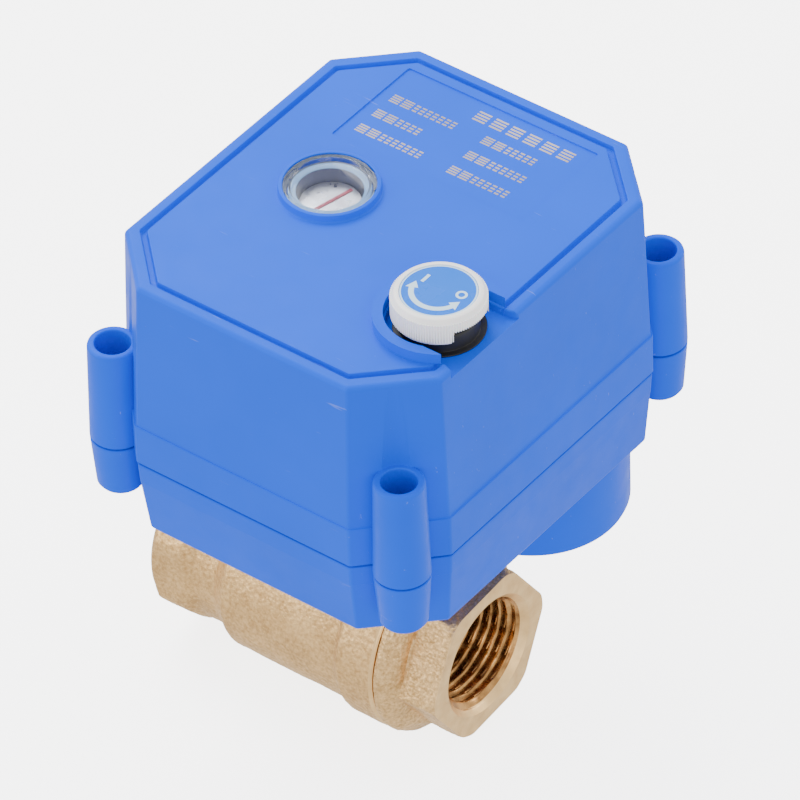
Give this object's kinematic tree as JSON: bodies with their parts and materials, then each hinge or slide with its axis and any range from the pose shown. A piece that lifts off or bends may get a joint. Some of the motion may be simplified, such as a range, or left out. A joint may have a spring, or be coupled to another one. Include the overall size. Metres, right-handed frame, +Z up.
{
  "type": "motorized valve actuator",
  "caption": "Box-shaped electric quarter-turn actuator with dial window and push-to-turn override knob, bolted on a small brass two-way ball valve.",
  "frame": {"origin": "centre of the ball, where the pipe axis meets the stem axis", "axes": "+X along the pipe towards the outlet port with the hexagon end cap, +Z up the stem towards the housing, +Y across"},
  "size_m": [0.0748, 0.0872, 0.1108],
  "materials": {
    "cast_brass": "sand-cast, speckled satin",
    "machined_brass": "turned",
    "blue_plastic": "satin moulded",
    "black_rubber": "matt",
    "seat_resin": "smooth PTFE",
    "zinc_steel": "zinc plated",
    "clear_lens": "polished clear",
    "violet_sleeve": "satin moulded",
    "silver_dial": "brushed",
    "red_line": "printed",
    "gland_plastic": "moulded nylon",
    "board_green": "solder mask",
    "switch_plastic": "moulded",
    "plunger_red": "moulded",
    "capacitor_sleeve": "shrink sleeve",
    "terminal_green": "moulded",
    "gear_resin": "moulded acetal",
    "chrome_ball": "polished",
    "knob_white": "satin moulded",
    "label_blue": "printed disc"
  },
  "bodies": {
    "housing": {"valve_body": "cast_brass", "end_cap": "cast_brass", "body_seal": "black_rubber", "inlet_seat": "seat_resin", "outlet_seat": "seat_resin", "packing_ring": "seat_resin", "gland_nut": "machined_brass", "base": "blue_plastic", "cover_gasket": "black_rubber", "top_cover": "blue_plastic", "cover_screws": "zinc_steel", "neck_screws": "zinc_steel", "shaft_bush": "machined_brass", "window_lens": "clear_lens", "window_o_ring": "black_rubber", "window_sleeve": "violet_sleeve", "knob_seal": "black_rubber", "cable_gland": "gland_plastic", "gland_lock_nut": "gland_plastic", "cable_grommet": "black_rubber", "circuit_board": "board_green", "board_screws": "zinc_steel", "open_switch": "switch_plastic", "shut_switch": "switch_plastic", "capacitors": "capacitor_sleeve", "terminal_block": "terminal_green", "plate_pillars": "machined_brass", "gear_plate": "zinc_steel", "plate_screws": "zinc_steel", "bridge_posts": "machined_brass", "axle_bridge": "zinc_steel", "gear_axles": "zinc_steel", "motor": "zinc_steel", "motor_gearhead": "zinc_steel", "motor_cushion": "black_rubber", "motor_screws": "zinc_steel"},
    "output": {"ball": "chrome_ball", "valve_stem": "machined_brass", "stem_o_rings": "black_rubber", "stem_washer": "seat_resin", "output_shaft": "zinc_steel", "output_gear": "gear_resin", "limit_cam": "machined_brass", "indicator_dial": "silver_dial", "indicator_line": "red_line"},
    "gear_c": {"gear_c": "gear_resin"},
    "gear_b": {"gear_b": "gear_resin"},
    "rotor": {"motor_pinion": "zinc_steel"},
    "idler": {"idler_gear": "gear_resin"},
    "override_cup": {"override_gear": "gear_resin"},
    "open_plunger": {"open_plunger": "plunger_red"},
    "shut_plunger": {"shut_plunger": "plunger_red"},
    "override_slide": {"knob_spring": "zinc_steel", "spring_washer": "zinc_steel"},
    "override_knob": {"knob": "knob_white", "knob_label": "label_blue", "knob_shaft": "zinc_steel", "shaft_clip": "zinc_steel", "knob_screw": "zinc_steel"}
  },
  "joints": [
    {"name": "output_turn", "type": "hinge", "parent": "housing", "child": "output", "pos_m": [0, 0, 0], "axis": [0, 0, 1], "range_deg": [0, 90]},
    {"name": "gear_c_turn", "type": "hinge", "parent": "housing", "child": "gear_c", "pos_m": [0.01961, 0.00276, 0.072], "axis": [0, 0, 1], "range_deg": [-405.5, 0]},
    {"name": "gear_b_turn", "type": "hinge", "parent": "housing", "child": "gear_b", "pos_m": [0.01431, 0.01408, 0.072], "axis": [0, 0, 1], "range_deg": [0, 1622]},
    {"name": "pinion_turn", "type": "hinge", "parent": "housing", "child": "rotor", "pos_m": [0.026, 0.0185, 0.072], "axis": [0, 0, 1], "range_deg": [-6488, 0]},
    {"name": "idler_turn", "type": "hinge", "parent": "housing", "child": "idler", "pos_m": [0.02116, -0.01255, 0.072], "axis": [0, 0, 1], "range_deg": [-174, 0]},
    {"name": "override_gear_turn", "type": "hinge", "parent": "housing", "child": "override_cup", "pos_m": [0.034, -0.0156, 0.072], "axis": [0, 0, 1], "range_deg": [0, 304.2]},
    {"name": "open_plunger_slide", "type": "slide", "parent": "housing", "child": "open_plunger", "axis": [0, -1, 0], "range_m": [0, 0.00101]},
    {"name": "shut_plunger_slide", "type": "slide", "parent": "housing", "child": "shut_plunger", "axis": [1, 0, 0], "range_m": [0, 0.00101]},
    {"name": "knob_push", "type": "slide", "parent": "housing", "child": "override_slide", "axis": [0, 0, -1], "range_m": [0, 0.0022], "stiffness_N_per_m": 400, "springref_m": -0.003, "deforming": ["knob_spring"]},
    {"name": "knob_turn", "type": "hinge", "parent": "override_slide", "child": "override_knob", "pos_m": [0.034, -0.0156, 0.09], "axis": [0, 0, 1], "continuous": true}
  ],
  "couplings": [
    {"joint": "gear_c_turn", "follows": "output_turn", "ratio": -4.5},
    {"joint": "gear_b_turn", "follows": "output_turn", "ratio": 18},
    {"joint": "pinion_turn", "follows": "output_turn", "ratio": -72},
    {"joint": "idler_turn", "follows": "output_turn", "ratio": -1.9286},
    {"joint": "override_gear_turn", "follows": "output_turn", "ratio": 3.375},
    {"joint": "open_plunger_slide", "follows": "output_turn", "m_per_rad": 0.0006398},
    {"joint": "shut_plunger_slide", "follows": "output_turn", "m_per_rad": 0.0006398}
  ]
}
